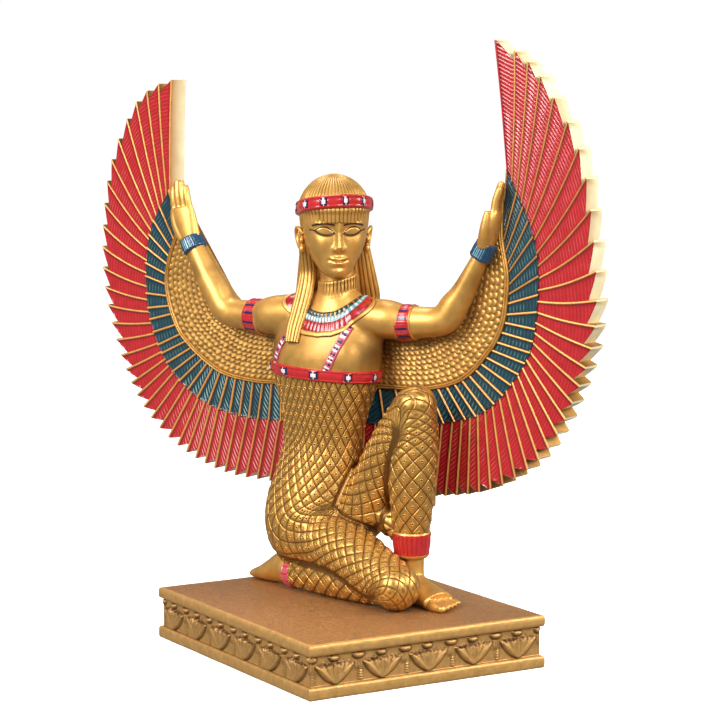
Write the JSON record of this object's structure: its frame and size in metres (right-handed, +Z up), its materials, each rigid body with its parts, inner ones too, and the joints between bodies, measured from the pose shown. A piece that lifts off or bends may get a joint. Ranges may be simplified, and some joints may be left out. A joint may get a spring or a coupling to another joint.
{
  "type": "winged goddess statue",
  "caption": "Painted resin statue of a kneeling Egyptian goddess with raised feathered wings, gold, red and teal, on a low plinth with a lotus frieze.",
  "frame": {"origin": "centre of the plinth's underside", "axes": "+Z up, legs pointing along -Y, the figure's left at +X"},
  "size_m": [0.1512, 0.2564, 0.2815],
  "materials": {
    "painted_resin": "metallic gold paint over cast resin, with glossy red and teal",
    "plinth_resin": "metallic gold paint over cast resin"
  },
  "bodies": {
    "root": {"figure": "painted_resin", "plinth": "plinth_resin"}
  },
  "joints": []
}
